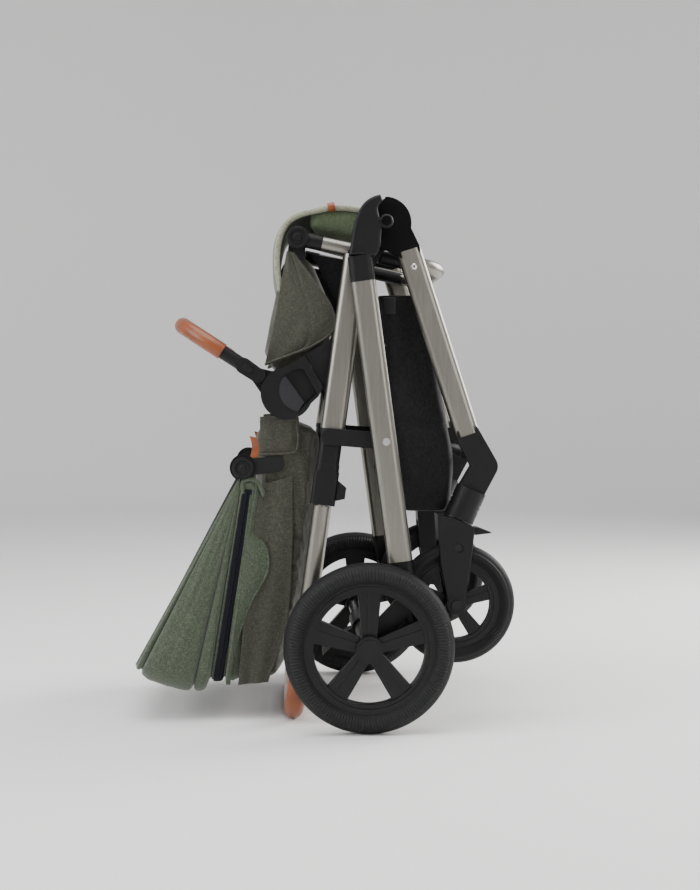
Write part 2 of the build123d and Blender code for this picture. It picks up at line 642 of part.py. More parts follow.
# ---- canopy: fan-shaped side panels joined by the hood band ----
side_outline = Polyline(
    (-186, 405), (-211, 405), canopy_front, (-330, 61), (-262, 46), (-228, 53), canopy_rear, close=True
)
panel = across(make_face(side_outline), canopy_half - canopy_wall, canopy_half)
panel -= pin(canopy_pivot, 22 + soft_gap, 150, 200)
band_outline = Polyline(
    canopy_front, (-330, 61), (-262, 46), (-228, 53), (-198, 58), (-199, 66), (-229, 62), (-262, 55), (-327, 70), (-371, 90), close=True
)
band = across(make_face(band_outline), -canopy_half, canopy_half)
hood = band + panel + mirror(panel, about=Plane.XZ)
save("canopy_hood", hood)

bow_start = between(canopy_pivot, canopy_front, 0.055)
bow_turn = between(canopy_pivot, canopy_front, 0.93)
bow_y = canopy_half - canopy_wall - 5
bow_points = [
    (bow_start[0] + 2, -bow_y, bow_start[1]),
    (bow_turn[0] + 6, -bow_y, bow_turn[1] + 3),
    (bow_turn[0] + 6, bow_y, bow_turn[1] + 3),
    (bow_start[0] + 2, bow_y, bow_start[1]),
]
bow = round_bar(bow_points, 4.5, 40)
flange = pin(canopy_pivot, 22, seat_half + 8, seat_half + 10) + pin(canopy_pivot, 18, seat_half + 9, canopy_half + 4)
flange -= pin(canopy_pivot, 5 + turning, 150, 200)
save("canopy_frame", bow + flange + mirror(flange, about=Plane.XZ))

# ---- basket, folded between the rear and front legs ----
basket_half = 186.0
basket_wall = 5.0
basket_outer = Polyline((20, 655), (88, 655), (140, 430), (132, 345), (60, 338), (45, 400), close=True)
basket_inner = Polyline((25.5, 660), (81.5, 660), (134.5, 430), (127, 350), (64, 343), (50.5, 402), close=True)
basket = across(make_face(basket_outer), -basket_half, basket_half)
basket -= across(make_face(basket_inner), -(basket_half - basket_wall), basket_half - basket_wall)
tab_out = leg_y - tube_deep / 2 - clear
for tab_x, tab_z in ((15, 610), (42, 400)):
    tab = across(at((tab_x, tab_z)) * Rectangle(30, 22), basket_half - 2, tab_out)
    basket += tab + mirror(tab, about=Plane.XZ)
save("basket", basket)
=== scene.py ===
import math

import bmesh
import bpy
from mathutils import Matrix, Vector, noise


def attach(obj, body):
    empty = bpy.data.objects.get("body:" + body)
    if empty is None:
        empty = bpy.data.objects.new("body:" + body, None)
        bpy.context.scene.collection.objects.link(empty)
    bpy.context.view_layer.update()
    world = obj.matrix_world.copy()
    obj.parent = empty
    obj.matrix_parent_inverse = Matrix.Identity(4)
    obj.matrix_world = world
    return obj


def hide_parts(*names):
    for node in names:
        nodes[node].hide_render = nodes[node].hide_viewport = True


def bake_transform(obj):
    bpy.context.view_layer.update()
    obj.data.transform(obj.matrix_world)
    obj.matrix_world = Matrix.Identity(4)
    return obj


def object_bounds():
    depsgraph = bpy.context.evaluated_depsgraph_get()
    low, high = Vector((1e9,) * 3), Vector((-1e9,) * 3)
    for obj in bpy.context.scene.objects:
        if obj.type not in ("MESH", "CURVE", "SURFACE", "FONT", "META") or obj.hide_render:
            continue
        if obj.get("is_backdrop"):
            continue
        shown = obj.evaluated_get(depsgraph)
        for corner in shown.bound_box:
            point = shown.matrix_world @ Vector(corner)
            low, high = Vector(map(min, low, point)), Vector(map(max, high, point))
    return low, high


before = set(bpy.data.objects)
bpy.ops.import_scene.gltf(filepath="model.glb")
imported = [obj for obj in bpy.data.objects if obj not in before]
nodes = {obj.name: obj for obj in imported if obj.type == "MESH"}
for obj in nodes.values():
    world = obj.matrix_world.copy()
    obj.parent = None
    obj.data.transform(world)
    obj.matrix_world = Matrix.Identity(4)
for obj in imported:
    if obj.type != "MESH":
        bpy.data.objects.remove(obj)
cad_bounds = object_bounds()

# Studio: a seamless pale paper sweep, a big soft light behind on the right, a fill on the
# left and an overhead bank. The stroller stands folded, seen square from its right side.
camera_lens = 64.7
camera_place = Vector((-0.0535, -2.773, 0.534))
camera_pitch = 88.17
camera_yaw = -2.15

camera = bpy.data.objects.new("camera", bpy.data.cameras.new("camera"))
camera.data.lens = camera_lens
camera.location = camera_place
camera.rotation_euler = (math.radians(camera_pitch), 0, math.radians(camera_yaw))
bpy.context.scene.collection.objects.link(camera)
bpy.context.scene.camera = camera


def shader(name, color, roughness=0.5, metallic=0.0, **sockets):
    """A new material with one Principled shader, its plain sockets set by name."""
    material = bpy.data.materials.new(name)
    material.use_nodes = True
    base = material.node_tree.nodes["Principled BSDF"]
    base.inputs["Base Color"].default_value = (*color, 1)
    base.inputs["Roughness"].default_value = roughness
    base.inputs["Metallic"].default_value = metallic
    for socket, value in sockets.items():
        base.inputs[socket.replace("_", " ")].default_value = value
    return material, material.node_tree, base


def add_node(tree, kind, **settings):
    """A shader node, its sockets set by name, and its own settings by lower-case name."""
    made = tree.nodes.new(kind)
    for key, value in settings.items():
        if key in made.inputs:
            made.inputs[key].default_value = value
        else:
            setattr(made, key, value)
    return made


def noise_on(tree, scale, stretch=(1, 1, 1), detail=2.0, coordinate="Object"):
    """Noise over the piece's own coordinates, stretched where threads or brushing run."""
    place = add_node(tree, "ShaderNodeTexCoord")
    fit = add_node(tree, "ShaderNodeMapping", Scale=stretch)
    grain = add_node(tree, "ShaderNodeTexNoise", Scale=scale, Detail=detail)
    tree.links.new(place.outputs[coordinate], fit.inputs["Vector"])
    tree.links.new(fit.outputs["Vector"], grain.inputs["Vector"])
    return grain.outputs["Fac"]


def ramp(tree, source, stops):
    """Colours along a value: stops are (position, (r, g, b))."""
    made = add_node(tree, "ShaderNodeValToRGB")
    while len(made.color_ramp.elements) < len(stops):
        made.color_ramp.elements.new(0.5)
    for element, (position, color) in zip(made.color_ramp.elements, stops):
        element.position = position
        element.color = (*color, 1)
    tree.links.new(source, made.inputs["Fac"])
    return made.outputs["Color"]


def bump(tree, base, height, strength, distance):
    made = add_node(tree, "ShaderNodeBump", Strength=strength, Distance=distance)
    tree.links.new(height, made.inputs["Height"])
    tree.links.new(made.outputs["Normal"], base.inputs["Normal"])


paper, _, _ = shader("paper", (0.86, 0.855, 0.85), 0.75)
backdrop_mesh = bmesh.new()
floor_radius, sweep_radius, wall_top = 4.6, 1.6, 4.4
sweep_steps, bowl_steps = 12, 96
profile = [(0, 0), (floor_radius * 0.5, 0), (floor_radius, 0)]
for step in range(1, sweep_steps + 1):
    lean = step / sweep_steps * math.pi / 2
    profile.append(
        (floor_radius + sweep_radius * math.sin(lean), sweep_radius * (1 - math.cos(lean))),
    )
profile.append((floor_radius + sweep_radius, wall_top))
backdrop_line = [backdrop_mesh.verts.new((reach, 0, height)) for reach, height in profile]
backdrop_edges = [backdrop_mesh.edges.new(pair) for pair in zip(backdrop_line, backdrop_line[1:])]
bmesh.ops.spin(
    backdrop_mesh,
    geom=backdrop_line + backdrop_edges,
    cent=(0, 0, 0),
    axis=(0, 0, 1),
    dvec=(0, 0, 0),
    angle=2 * math.pi,
    steps=bowl_steps,
    use_merge=True,
)
bmesh.ops.remove_doubles(backdrop_mesh, verts=backdrop_mesh.verts, dist=0.0001)
bmesh.ops.recalc_face_normals(backdrop_mesh, faces=backdrop_mesh.faces)
backdrop_data = bpy.data.meshes.new("backdrop")
backdrop_mesh.to_mesh(backdrop_data)
backdrop_mesh.free()
backdrop = bpy.data.objects.new("backdrop", backdrop_data)
backdrop_data.materials.append(paper)
backdrop_data.shade_smooth()
bpy.context.scene.collection.objects.link(backdrop)
backdrop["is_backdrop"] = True

lamps = {
    "rear_right_bank": ((2.4, 1.1, 1.7), (0.05, 0, 0.5), 1.8, 120, (1.0, 0.98, 0.95)),
    "left_fill": ((-2.6, -1.2, 1.7), (0, 0, 0.4), 2.0, 60, (0.97, 0.99, 1.0)),
    "overhead_bank": ((-0.2, -0.5, 2.9), (0, 0.2, 0.2), 2.4, 70, (1.0, 1.0, 1.0)),
    "front_right_fill": ((2.2, -3.0, 1.3), (0, 0, 0.35), 1.4, 24, (1.0, 0.99, 0.97)),
}
for name, (place, aim, size, power, tint) in lamps.items():
    lamp = bpy.data.objects.new(name, bpy.data.lights.new(name, "AREA"))
    lamp.data.size = size
    lamp.data.energy = power
    lamp.data.color = tint
    lamp.location = place
    lamp.rotation_euler = (Vector(aim) - Vector(place)).to_track_quat("-Z", "Y").to_euler()
    bpy.context.scene.collection.objects.link(lamp)
world = bpy.data.worlds.new("studio")
world.use_nodes = True
room_light = world.node_tree.nodes["Background"]
room_light.inputs["Color"].default_value = (0.9, 0.9, 0.92, 1)
room_light.inputs["Strength"].default_value = 0.62
bpy.context.scene.world = world

# Frame tubes: rounded-oblong aluminium, drawn, satin anodised in a warm grey. The legs,
# the handle's outer tubes, its inner tube and the legrest tube share the one finish.
satin, satin_tree, satin_base = shader("warm_grey_anodising", (0.24, 0.232, 0.205), 0.34, 1.0)
drawn = noise_on(satin_tree, 260, (1, 1, 0.05), 3)
satin_tree.links.new(
    ramp(satin_tree, drawn, [(0.3, (0.215, 0.207, 0.18)), (0.7, (0.255, 0.246, 0.218))]),
    satin_base.inputs["Base Color"],
)
bump(satin_tree, satin_base, noise_on(satin_tree, 1400, (1, 1, 0.1)), 0.06, 0.0003)


def dress(material, *names):
    """Give CAD nodes a finish."""
    for name in names:
        data = nodes[name].data
        data.materials.clear()
        data.materials.append(material)


sides = ((-1, "right"), (1, "left"))


def both(*names):
    return [f"{name}_{word}" for name in names for _, word in sides]


dress(satin, *both("rear_leg", "front_leg", "handle_tube"), "handle_bar", "legrest_frame")

# Moulded fittings: glass-filled nylon castings in matte black, with the fine pitted grain
# of the tool, a little smoother where hands and shoes rub them.
nylon, nylon_tree, nylon_base = shader(
    "grained_black_nylon", (0.004, 0.004, 0.0044), 0.5, Specular_IOR_Level=0.24,
)
rub = noise_on(nylon_tree, 14, detail=3)
wear = add_node(nylon_tree, "ShaderNodeMapRange", **{"To Min": 0.36, "To Max": 0.56})
nylon_tree.links.new(rub, wear.inputs["Value"])
nylon_tree.links.new(wear.outputs["Result"], nylon_base.inputs["Roughness"])
bump(nylon_tree, nylon_base, noise_on(nylon_tree, 2200, detail=1), 0.25, 0.0003)
dress(
    nylon,
    *both("hinge_cap", "rear_arm", "front_elbow", "handle_housing", "seat_adaptor", "seat_hub"),
    *both("fold_latch", "front_fork", "swivel_lock", "handle_lock"),
    "rear_feet", "brake_pedal", "front_crossbar", "handle_lugs", "bumper_bar", "canopy_frame",
)
dull, dull_tree, dull_base = shader(
    "dull_black_disc", (0.002, 0.002, 0.002), 0.85, Specular_IOR_Level=0.15,
)
bump(dull_tree, dull_base, noise_on(dull_tree, 1500, detail=1), 0.3, 0.0003)
dress(dull, "fold_discs")
painted, painted_tree, painted_base = shader(
    "black_powder_coat", (0.0045, 0.0045, 0.005), 0.4, Specular_IOR_Level=0.3,
)
bump(painted_tree, painted_base, noise_on(painted_tree, 900, detail=1), 0.3, 0.0002)
dress(painted, "rear_crossbar", "seat_base_frame", "backrest_frame", *both("front_axle"))
plated, plated_tree, plated_base = shader("plated_steel", (0.55, 0.55, 0.54), 0.25, 1.0)
bump(plated_tree, plated_base, noise_on(plated_tree, 700, detail=1), 0.15, 0.0002)
dress(plated, "frame_pins")
plated_bright, bright_tree, bright_base = shader("bright_rivet_steel", (0.6, 0.6, 0.58), 0.22, 1.0)
bump(bright_tree, bright_base, noise_on(bright_tree, 900, detail=1), 0.2, 0.0002)
grey, grey_tree, grey_base = shader(
    "grey_button_nylon", (0.019, 0.019, 0.021), 0.46, Specular_IOR_Level=0.25,
)
bump(grey_tree, grey_base, noise_on(grey_tree, 1800, detail=1), 0.2, 0.0002)
dress(grey, *both("hub_button"))

# Wheels: black moulded rims with five broad spokes, and foam-filled tyres whose sidewall
# carries a band of fine radial ribs just inside the tread.
rear_axle_x, rear_axle_z = 0.0705, 0.135
front_axle_x, front_axle_z = rear_axle_x + 0.141, 0.097
rear_ribs, front_ribs = 150, 120


def tyre_rubber(name, centre, ribs, rib_in, rib_out):
    """Black foam rubber: radial ribs between two radii about the wheel's axle; the rib crests are
    painted lighter than the grooves, a painted highlight and shade.
    """
    material, tree, base = shader(name, (0.006, 0.006, 0.0064), 0.6, Specular_IOR_Level=0.24)
    place = add_node(tree, "ShaderNodeTexCoord")
    shift = add_node(tree, "ShaderNodeVectorMath", operation="SUBTRACT")
    shift.inputs[1].default_value = centre
    tree.links.new(place.outputs["Object"], shift.inputs[0])
    split = add_node(tree, "ShaderNodeSeparateXYZ")
    tree.links.new(shift.outputs["Vector"], split.inputs["Vector"])
    turn = add_node(tree, "ShaderNodeMath", operation="ARCTAN2")
    tree.links.new(split.outputs["Z"], turn.inputs[0])
    tree.links.new(split.outputs["X"], turn.inputs[1])
    many = add_node(tree, "ShaderNodeMath", operation="MULTIPLY")
    many.inputs[1].default_value = ribs
    tree.links.new(turn.outputs["Value"], many.inputs[0])
    wave = add_node(tree, "ShaderNodeMath", operation="SINE")
    tree.links.new(many.outputs["Value"], wave.inputs[0])
    flat = add_node(tree, "ShaderNodeVectorMath", operation="MULTIPLY")
    flat.inputs[1].default_value = (1, 0, 1)
    tree.links.new(shift.outputs["Vector"], flat.inputs[0])
    reach = add_node(tree, "ShaderNodeVectorMath", operation="LENGTH")
    tree.links.new(flat.outputs["Vector"], reach.inputs[0])
    inside = add_node(tree, "ShaderNodeMath", operation="COMPARE")
    inside.inputs[1].default_value = (rib_in + rib_out) / 2
    inside.inputs[2].default_value = (rib_out - rib_in) / 2
    tree.links.new(reach.outputs["Value"], inside.inputs[0])
    ridges = add_node(tree, "ShaderNodeMath", operation="MULTIPLY")
    tree.links.new(wave.outputs["Value"], ridges.inputs[0])
    tree.links.new(inside.outputs["Value"], ridges.inputs[1])
    bump(tree, base, ridges.outputs["Value"], 0.5, 0.0012)
    shade = add_node(tree, "ShaderNodeMapRange", **{"From Min": -1.0, "To Min": 0.5, "To Max": 0.7})
    tree.links.new(ridges.outputs["Value"], shade.inputs["Value"])
    tree.links.new(shade.outputs["Result"], base.inputs["Roughness"])
    # Painted highlight and shade: the colour follows the ribs, lighter on their crests than in the
    # grooves.
    tree.links.new(
        ramp(
            tree, ridges.outputs["Value"],
            [(0.0, (0.005, 0.005, 0.0055)), (1.0, (0.016, 0.016, 0.017))],
        ),
        base.inputs["Base Color"],
    )
    return material


rear_rubber = tyre_rubber(
    "rear_tyre_rubber", (rear_axle_x, 0, rear_axle_z), rear_ribs, 0.108, 0.127,
)
front_rubber = tyre_rubber(
    "front_tyre_rubber", (front_axle_x, 0, front_axle_z), front_ribs, 0.076, 0.091,
)
dress(rear_rubber, *both("rear_tyre"))
dress(front_rubber, *both("front_tyre"))
rim, rim_tree, rim_base = shader(
    "rim_black_nylon", (0.0035, 0.0035, 0.004), 0.38, Specular_IOR_Level=0.26,
)
bump(rim_tree, rim_base, noise_on(rim_tree, 1600, detail=1), 0.18, 0.0002)
dress(rim, *both("rear_rim", "front_rim", "rear_wheel_cap"))

# Leather: tan cowhide wrapped round the foam of the grip and of the bumper bar, closed by
# one seam, with a fine pore grain and a tone that varies in broad random patches.
leather, leather_tree, leather_base = shader("tan_cowhide", (0.24, 0.058, 0.011), 0.33)
patches = noise_on(leather_tree, 22, detail=4)
leather_tree.links.new(
    ramp(leather_tree, patches, [(0.3, (0.155, 0.034, 0.006)), (0.7, (0.27, 0.068, 0.013))]),
    leather_base.inputs["Base Color"],
)
pores = add_node(leather_tree, "ShaderNodeTexVoronoi", Scale=700.0)
pore_place = add_node(leather_tree, "ShaderNodeTexCoord")
leather_tree.links.new(pore_place.outputs["Object"], pores.inputs["Vector"])
bump(leather_tree, leather_base, pores.outputs["Distance"], 0.2, 0.0004)
dress(leather, "handle_grip", "bumper_sleeve")


# Melange cloth: a plain weave of two-tone yarns, so fine light and dark flecks run along
# both threads. The canopy is sage green and the seat olive grey; both have a soft nap.
def melange(name, dark, middle, light):
    material, tree, base = shader(name, middle, 0.92, Sheen_Weight=0.25, Sheen_Roughness=0.5)
    warp = noise_on(tree, 900, (1, 1, 0.2), 2)
    weft = noise_on(tree, 900, (0.2, 0.2, 1), 2)
    both_ways = add_node(tree, "ShaderNodeMath", operation="ADD")
    tree.links.new(warp, both_ways.inputs[0])
    tree.links.new(weft, both_ways.inputs[1])
    halved = add_node(tree, "ShaderNodeMath", operation="MULTIPLY")
    halved.inputs[1].default_value = 0.5
    tree.links.new(both_ways.outputs["Value"], halved.inputs[0])
    tree.links.new(
        ramp(tree, halved.outputs["Value"], [(0.3, dark), (0.5, middle), (0.7, light)]),
        base.inputs["Base Color"],
    )
    weave = add_node(tree, "ShaderNodeMath", operation="ADD")
    tree.links.new(noise_on(tree, 1100, (1, 1, 0.3), 1), weave.inputs[0])
    tree.links.new(halved.outputs["Value"], weave.inputs[1])
    bump(tree, base, weave.outputs["Value"], 0.35, 0.0007)
    return material


sage = melange("sage_melange", (0.022, 0.031, 0.018), (0.05, 0.066, 0.04), (0.105, 0.129, 0.081))
olive = melange(
    "olive_melange", (0.018, 0.0185, 0.0125), (0.038, 0.0385, 0.0265), (0.078, 0.078, 0.055),
)
# The pale cloth is a painted rim highlight: it colours only the knee roll's side edges, where light
# from behind catches the sage cloth.
painted_highlight_cloth = melange("painted_rim_highlight", (0.13, 0.135, 0.095), (0.24, 0.245, 0.175), (0.42, 0.42, 0.33))
moss = melange("moss_melange", (0.03, 0.045, 0.022), (0.066, 0.09, 0.046), (0.125, 0.158, 0.086))
nylon_cloth, cloth_tree, cloth_base = shader(
    "black_oxford_nylon", (0.006, 0.006, 0.007), 0.82, Sheen_Weight=0.06, Specular_IOR_Level=0.25,
)
cloth_tree.links.new(
    ramp(
        cloth_tree, noise_on(cloth_tree, 500, (1, 1, 0.4), 3),
        [(0.35, (0.003, 0.003, 0.0035)), (0.7, (0.012, 0.012, 0.0135))],
    ),
    cloth_base.inputs["Base Color"],
)
bump(cloth_tree, cloth_base, noise_on(cloth_tree, 1200, (1, 1, 0.5), 2), 0.45, 0.0008)


def from_axle(x, z, y=0.0):
    """A place in metres: x ahead of the rear axle, z above the floor, y to the left."""
    return Vector((rear_axle_x + x, y, z))


def keep(name, mesh, body, material):
    """Put a finished bmesh into the scene as a piece that rides on one body."""
    bmesh.ops.recalc_face_normals(mesh, faces=mesh.faces)
    data = bpy.data.meshes.new(name)
    mesh.to_mesh(data)
    mesh.free()
    data.materials.append(material)
    data.shade_smooth()
    piece = bpy.data.objects.new(name, data)
    bpy.context.scene.collection.objects.link(piece)
    if body:
        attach(piece, body)
    return piece


def cloth_sheet(name, across, along, place, body, material, thickness=0.0016):
    """One continuous sheet: place(u, v) gives each point; it is then given its thickness."""
    mesh = bmesh.new()
    bmesh.ops.create_grid(mesh, x_segments=across, y_segments=along, size=0.5)
    for vert in mesh.verts:
        vert.co = place(vert.co.x + 0.5, vert.co.y + 0.5)
    piece = keep(name, mesh, body, material)
    solid = piece.modifiers.new("thickness", "SOLIDIFY")
    solid.thickness = thickness
    solid.offset = 0
    soft = piece.modifiers.new("soft", "SUBSURF")
    soft.levels = soft.render_levels = 1
    return piece


def corded_edge(name, points, radius, body, material):
    """Piping: a smooth cord through its points, made into a closed tube of mesh."""
    curve = bpy.data.curves.new(name, "CURVE")
    curve.dimensions = "3D"
    spline = curve.splines.new("NURBS")
    spline.points.add(len(points) - 1)
    for knot, point in zip(spline.points, points):
        knot.co = (*point, 1)
    spline.order_u = 3
    spline.use_endpoint_u = True
    spline.resolution_u = 6
    curve.bevel_depth = radius
    curve.bevel_resolution = 3
    curve.use_fill_caps = True
    holder = bpy.data.objects.new(name + "_line", curve)
    bpy.context.scene.collection.objects.link(holder)
    bpy.context.view_layer.update()
    made = bpy.data.meshes.new_from_object(holder)
    bpy.data.objects.remove(holder)
    mesh = bmesh.new()
    mesh.from_mesh(made)
    bmesh.ops.remove_doubles(mesh, verts=mesh.verts, dist=0.00001)
    return keep(name, mesh, body, material)


def through(stops, share):
    """The place at a share of the way along (share, x, z) stops, on one smooth line."""
    share = max(stops[0][0], min(stops[-1][0], share))
    index = next(number for number in range(1, len(stops)) if share <= stops[number][0])
    four = [stops[max(0, min(len(stops) - 1, index + step))] for step in (-2, -1, 0, 1)]
    before, start, end, after = four
    part = (share - start[0]) / (end[0] - start[0])
    place = []
    for axis in (1, 2):
        into = (end[axis] - before[axis]) / (end[0] - before[0]) * (end[0] - start[0])
        away = (after[axis] - start[axis]) / (after[0] - start[0]) * (end[0] - start[0])
        rise = end[axis] - start[axis]
        second = 3 * rise - 2 * into - away
        third = into + away - 2 * rise
        place.append(start[axis] + part * into + part**2 * second + part**3 * third)
    return place


# Canopy: one continuous curved sheet of sage cloth over three hoops, folded like a fan. Each
# side is a fan of pleats from the pivot, and it turns over the hoops into the roof.
canopy_half_width = 0.1755
canopy_corner = 0.034
fan_top = [
    (0, -0.204, 0.399), (0.3, -0.205, 0.392), (0.5, -0.205, 0.386), (0.63, -0.203, 0.39),
    (0.8, -0.181, 0.39), (0.9, -0.172, 0.38), (1, -0.158, 0.37),
]
fan_foot = [
    (0, -0.38, 0.084), (0.12, -0.362, 0.074), (0.3, -0.325, 0.063), (0.5, -0.284, 0.05),
    (0.58, -0.268, 0.052), (0.64, -0.256, 0.06), (0.8, -0.232, 0.064), (0.86, -0.225, 0.056),
    (1, -0.19, 0.066),
]
fan_creases = [
    (0.0, 0.0), (0.07, 0.0015), (0.5, 0.01), (0.63, 0.006), (0.65, 0.0005), (0.8, 0.001),
    (0.86, 0.005), (1.0, -0.004),
]


def canopy_place(u, v, lift=0.0):
    top = from_axle(*through(fan_top, v))
    foot = from_axle(*through(fan_foot, v))
    ray = (foot - top).normalized()
    drop = (foot - top).length - canopy_corner
    roof = canopy_half_width - canopy_corner
    bend = canopy_corner * math.pi / 2
    side = 1 if u > 0.5 else -1
    run = (1 - abs(2 * u - 1)) * (drop + bend + roof)
    if run < drop:
        down, out, lean = run, canopy_half_width, 0.0
    elif run < drop + bend:
        lean = (run - drop) / canopy_corner
        down = drop + canopy_corner * math.sin(lean)
        out = canopy_half_width - canopy_corner * (1 - math.cos(lean))
    else:
        lean = math.pi / 2
        down, out = drop + canopy_corner, drop + bend + roof - run
    for (start, _), (end, swell) in zip(fan_creases, fan_creases[1:]):
        if v <= end:
            part = (v - start) / (end - start)
            break
    spread = min(1.0, 0.15 + run / drop)
    from_crease = min(part, 1 - part) * (end - start)
    puff = swell * spread * (1 - (2 * part - 1) ** 2) ** 0.5
    puff = puff - 0.007 * spread * math.exp(-((from_crease / 0.014) ** 2))
    ripple = noise.noise((u * 9, v * 14, 3.1)) * 0.0022 * spread
    inward = 0.02 * max(0.0, (v - 0.86) / 0.14)
    rise = puff + ripple + lift
    slack = 0.006 * math.sin(math.pi * out / canopy_half_width * 0.5) * (lean > 1.5)
    aside = Vector((0, side * (out - inward + rise * math.cos(lean)), 0))
    return top + ray * (down + rise * math.sin(lean) - slack) + aside


canopy = cloth_sheet("canopy_cloth", 90, 110, canopy_place, "canopy", sage)
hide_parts("canopy_hood")
navy, navy_tree, navy_base = shader(
    "navy_zip_tape", (0.0025, 0.003, 0.007), 0.7, Specular_IOR_Level=0.2,
)
bump(navy_tree, navy_base, noise_on(navy_tree, 600, (0.3, 0.3, 1), 1), 0.6, 0.001)
zip_tape = cloth_sheet(
    "canopy_zip", 90, 6, lambda u, v: canopy_place(0.012 + u * 0.976, 0.672 + v * 0.11, 0.002),
    "canopy", navy,
)
zip_coil = corded_edge(
    "canopy_zip_coil",
    [canopy_place(0.014 + step / 60 * 0.972, 0.727, 0.0032) for step in range(61)], 0.0014,
    "canopy", navy,
)
for number, (share, lift) in enumerate(
    ((0.004, 0.0), (0.065, 0.0018), (0.66, 0.0022), (0.795, 0.0022)),
):
    corded_edge(
            f"canopy_piping_{number}",
            [canopy_place(0.005 + step / 70 * 0.99, share, lift) for step in range(71)],
            0.0022 if number == 0 else 0.0016,
            "canopy",
            sage,
        )
for side, word in sides:
    arch = [
        (-0.2, 0.372), (-0.203, 0.388), (-0.196, 0.396), (-0.18, 0.395), (-0.172, 0.385),
        (-0.166, 0.368),
    ]
    corded_edge(
            f"canopy_arch_{word}", [from_axle(x, z, side * 0.1765) for x, z in arch], 0.0034,
            "canopy", sage,
        )
    flap_line = [
        (-0.184, 0.372), (-0.186, 0.31), (-0.164, 0.286), (-0.161, 0.245), (-0.19, 0.19),
        (-0.214, 0.12), (-0.224, 0.06),
    ]
    flap_inner = [
        (-0.19, 0.372), (-0.2, 0.31), (-0.204, 0.286), (-0.208, 0.245), (-0.216, 0.19),
        (-0.224, 0.12), (-0.229, 0.06),
    ]

    def flap_place(u, v, side=side):
        steps = [(index / 6, *point) for index, point in enumerate(flap_line)]
        inner = [(index / 6, *point) for index, point in enumerate(flap_inner)]
        outer_at = from_axle(*through(steps, v))
        inner_at = from_axle(*through(inner, v))
        place = inner_at.lerp(outer_at, u)
        place.y = side * (0.1768 + 0.003 * math.sin(math.pi * u) - 0.004 * u)
        return place

    flap = cloth_sheet(f"canopy_flap_{word}", 10, 40, flap_place, "canopy", sage)
    corded_edge(
            f"canopy_flap_piping_{word}", [flap_place(1.0, step / 24) for step in range(25)],
            0.0022, "canopy", sage,
        )


def block(outline, half, soft_edge):
    """A closed outline, given as (x, z) from the rear axle, drawn out from side to side."""
    mesh = bmesh.new()
    face = mesh.faces.new([mesh.verts.new(from_axle(x, z, -half)) for x, z in outline])
    drawn = bmesh.ops.extrude_face_region(mesh, geom=[face])
    bmesh.ops.translate(
        mesh, vec=(0, 2 * half, 0),
        verts=[item for item in drawn["geom"] if isinstance(item, bmesh.types.BMVert)],
    )
    if not any(edge_face.normal.y > 0.9 for edge_face in mesh.faces):
        bmesh.ops.recalc_face_normals(mesh, faces=mesh.faces)
    bmesh.ops.bevel(
        mesh, geom=list(mesh.edges), offset=soft_edge, offset_type="OFFSET", segments=3,
        profile=0.5, material=-1, affect="EDGES",
    )
    bmesh.ops.recalc_face_normals(mesh, faces=mesh.faces)
    return mesh


def plump(piece, voxel, pressure, cap, frames=20):
    """Fill a cover as its stuffing does: the shell swells under pressure, held to a cap."""
    fine = piece.modifiers.new("even", "REMESH")
    fine.mode = "VOXEL"
    fine.voxel_size = voxel
    bpy.context.view_layer.update()
    even = bpy.data.meshes.new_from_object(
        piece.evaluated_get(bpy.context.evaluated_depsgraph_get()),
    )
    piece.modifiers.clear()
    material = piece.data.materials[0]
    piece.data = even
    rest = [vert.co.copy() for vert in even.vertices]
    filling = piece.modifiers.new("filling", "CLOTH")
    filling.settings.use_pressure = True
    filling.settings.uniform_pressure_force = pressure
    filling.settings.effector_weights.gravity = 0
    filling.settings.quality = 4
    filling.point_cache.frame_start = 1
    filling.point_cache.frame_end = frames
    for step in range(1, frames + 1):
        bpy.context.scene.frame_set(step)
    swollen = bpy.data.meshes.new_from_object(
        piece.evaluated_get(bpy.context.evaluated_depsgraph_get()),
    )
    piece.modifiers.clear()
    bpy.context.scene.frame_set(1)
    for vert, start in zip(swollen.vertices, rest):
        moved = vert.co - start
        if moved.length > cap:
            vert.co = start + moved.normalized() * cap
    piece.data = swollen
    piece.data.materials.clear()
    piece.data.materials.append(material)
    piece.data.shade_smooth()


def soften(piece, levels=1):
    soft = piece.modifiers.new("soft", "SUBSURF")
    soft.levels = soft.render_levels = levels


# Seat back: a padded cover in olive melange, laced over the backrest frame and hanging in
# long soft folds. It is sewn from a front and a back with piping round the edge.
back_outline = [
    (-0.079, 0.48), (-0.094, 0.32), (-0.106, 0.218), (-0.146, 0.066), (-0.174, 0.063),
    (-0.184, 0.2), (-0.179, 0.33), (-0.173, 0.395), (-0.173, 0.487), (-0.122, 0.493),
]
seat_back = keep("seat_back_cover", block(back_outline, 0.1625, 0.008), "backrest", olive)
plump(seat_back, 0.006, 4.0, 0.007)
for vert in seat_back.data.vertices:
    fold_line = math.sin(
        (vert.co.x - rear_axle_x + vert.co.z * 0.17) * 340 + noise.noise(vert.co * 6) * 2.4,
    )
    near_side = min(1.0, max(0.0, (abs(vert.co.y) - 0.12) / 0.04))
    vert.co.y += math.copysign(0.0035 * fold_line * near_side, vert.co.y)
    vert.co += noise.noise_vector(vert.co * 18) * 0.0022
    if abs(vert.co.y) > 0.156:
        vert.co.y = math.copysign(
            min(0.1698, max(0.1645 + 0.0015 * fold_line, abs(vert.co.y))), vert.co.y,
        )
soften(seat_back)
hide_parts("seat_back")

